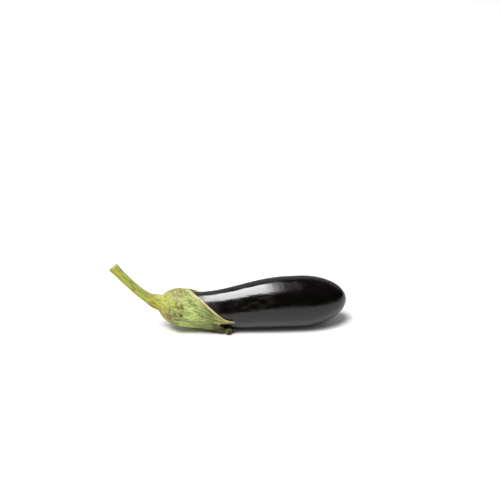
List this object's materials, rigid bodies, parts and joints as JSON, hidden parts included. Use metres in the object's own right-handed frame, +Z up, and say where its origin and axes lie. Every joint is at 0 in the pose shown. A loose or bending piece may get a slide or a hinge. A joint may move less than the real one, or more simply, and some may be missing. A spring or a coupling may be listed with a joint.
{
  "type": "eggplant",
  "caption": "Small black eggplant lying on its side, with a lobed green calyx and a curved cut stem.",
  "frame": {"origin": "on the resting surface, under the middle of the box around the eggplant", "axes": "+X along the eggplant's length towards its blossom end, +Z up from the surface it rests on"},
  "size_m": [0.1924, 0.0424, 0.0584],
  "materials": {
    "skin": "glossy waxy black-purple skin",
    "calyx_green": "matt ribbed pale green, with cream edges and brown specks",
    "stem_green": "matt ridged yellow-green, pale where it is cut"
  },
  "bodies": {
    "root": {"fruit": "skin", "calyx": "calyx_green", "stem": "stem_green"}
  },
  "joints": []
}
